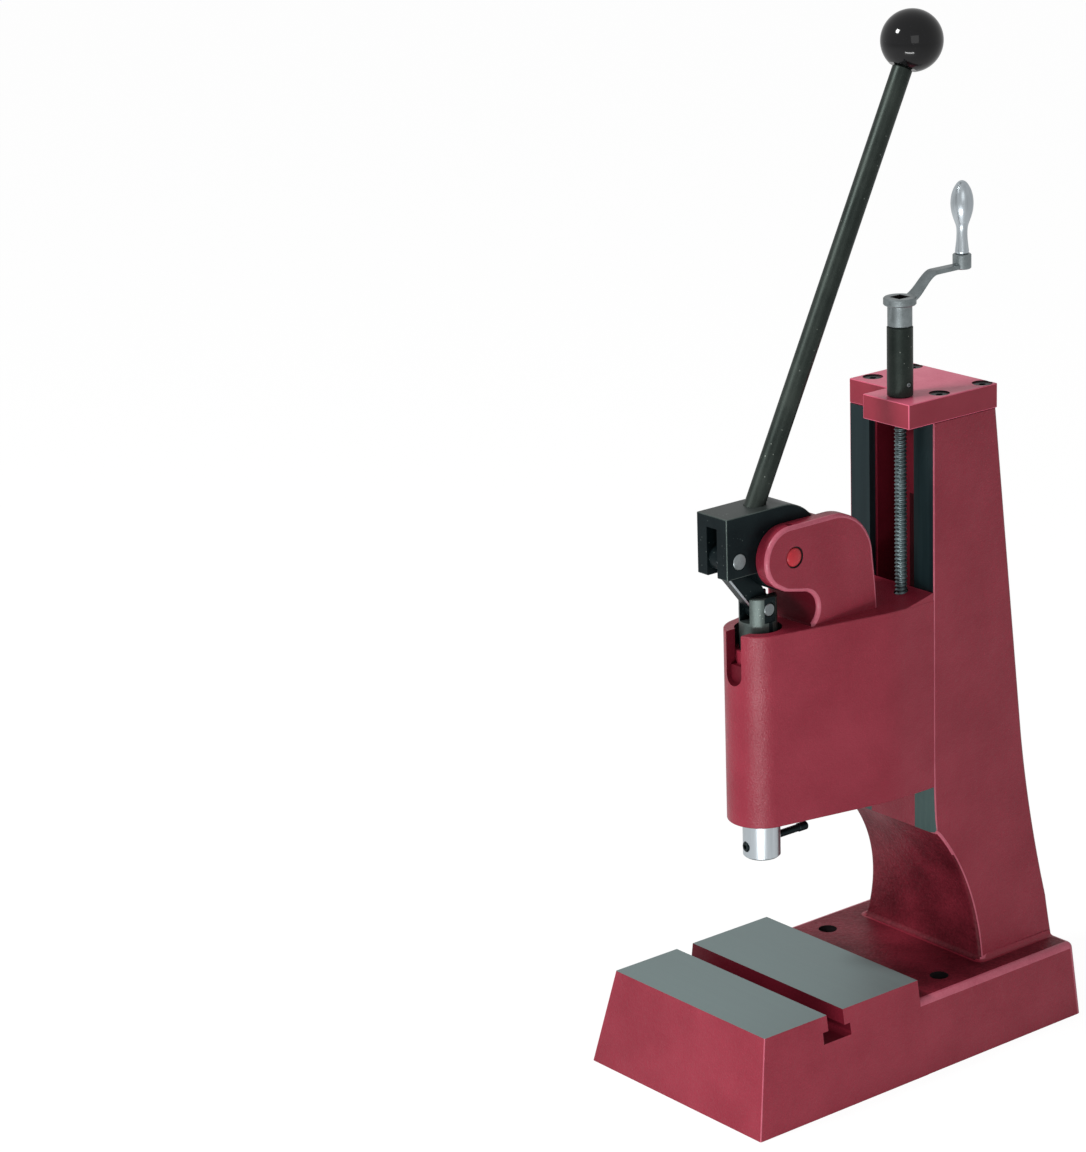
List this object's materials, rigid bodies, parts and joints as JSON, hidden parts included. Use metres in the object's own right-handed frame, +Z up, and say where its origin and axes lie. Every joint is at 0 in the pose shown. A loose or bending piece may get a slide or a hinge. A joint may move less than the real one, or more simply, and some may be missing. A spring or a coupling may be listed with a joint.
{
  "type": "toggle press",
  "caption": "Bench toggle press with a height-adjustable head on a cast column, a swinging hand lever, a toggle link that drives a round ram, and a slotted table.",
  "frame": {"origin": "middle of the base's footprint on the bench", "axes": "+Z up, +Y from the table towards the column, +X to the side that the height crank's spindle is on"},
  "size_m": [0.19, 0.333, 0.7765],
  "materials": {
    "wine_paint": "semi-gloss, light orange peel over cast iron",
    "blackened_steel": "black oxide, satin",
    "bright_steel": "turned and ground, bare",
    "bronze": "bored bearing bronze",
    "spring_steel": "oiled wire",
    "black_plastic": "moulded, glossy"
  },
  "bodies": {
    "frame": {"frame_casting": "wine_paint", "top_plate": "wine_paint", "plate_screw_1": "blackened_steel", "plate_screw_2": "blackened_steel", "plate_screw_3": "blackened_steel", "plate_screw_4": "blackened_steel", "spindle_bush": "bronze"},
    "spindle": {"height_spindle": "bright_steel", "spindle_sleeve": "blackened_steel", "sleeve_set_screw": "bright_steel"},
    "crank": {"crank_arm": "bright_steel", "handle_pin": "bright_steel"},
    "handle": {"crank_handle": "bright_steel"},
    "head": {"head_casting": "wine_paint", "lower_ram_bush": "bronze", "upper_ram_bush": "wine_paint", "return_spring": "spring_steel", "spindle_nut": "bronze", "pivot_pin": "wine_paint", "pivot_pin_screw": "blackened_steel", "lower_clamp_stud": "bright_steel", "lower_clamp_washer": "bright_steel", "lower_clamp_nut": "blackened_steel", "upper_clamp_stud": "bright_steel", "upper_clamp_washer": "bright_steel", "upper_clamp_nut": "blackened_steel", "keeper_plate": "blackened_steel"},
    "lever": {"lever_block": "blackened_steel", "lever_rod": "blackened_steel", "lever_knob": "black_plastic", "toggle_pin": "bright_steel"},
    "ram": {"ram": "bright_steel", "link_pin": "bright_steel", "spring_collar": "blackened_steel", "tool_set_screw": "blackened_steel", "ram_rear_rod": "blackened_steel"},
    "link": {"toggle_link": "blackened_steel"}
  },
  "joints": [
    {"name": "head_slide", "type": "slide", "parent": "frame", "child": "head", "axis": [0, 0, 1], "range_m": [-0.03, 0.08]},
    {"name": "spindle_turn", "type": "hinge", "parent": "frame", "child": "spindle", "pos_m": [0.02, 0.0475, 0.5006], "axis": [0, 0, 1], "continuous": true},
    {"name": "crank_turn", "type": "hinge", "parent": "frame", "child": "crank", "pos_m": [0.02, 0.0475, 0.5006], "axis": [0, 0, 1], "range_deg": [-171, 114]},
    {"name": "handle_spin", "type": "hinge", "parent": "crank", "child": "handle", "pos_m": [0.02, 0.1105, 0.596], "axis": [0, 0, 1], "continuous": true},
    {"name": "lever_swing", "type": "hinge", "parent": "head", "child": "lever", "pos_m": [0, -0.0652, 0.4035], "axis": [1, 0, 0], "range_deg": [0, 87.17]},
    {"name": "ram_slide", "type": "slide", "parent": "head", "child": "ram", "axis": [0, 0, -1], "range_m": [0, 0.054], "stiffness_N_per_m": 600, "springref_m": -0.05, "deforming": ["return_spring"]},
    {"name": "link_swing", "type": "hinge", "parent": "ram", "child": "link", "pos_m": [0, -0.0765, 0.36315], "axis": [1, 0, 0], "range_deg": [-42.2, 0]}
  ],
  "couplings": [
    {"joint": "spindle_turn", "follows": "head_slide", "rad_per_m": -2094.4},
    {"joint": "ram_slide", "follows": "lever_swing", "m_per_rad": 0.035481},
    {"joint": "link_swing", "follows": "lever_swing", "ratio": -0.4829}
  ]
}
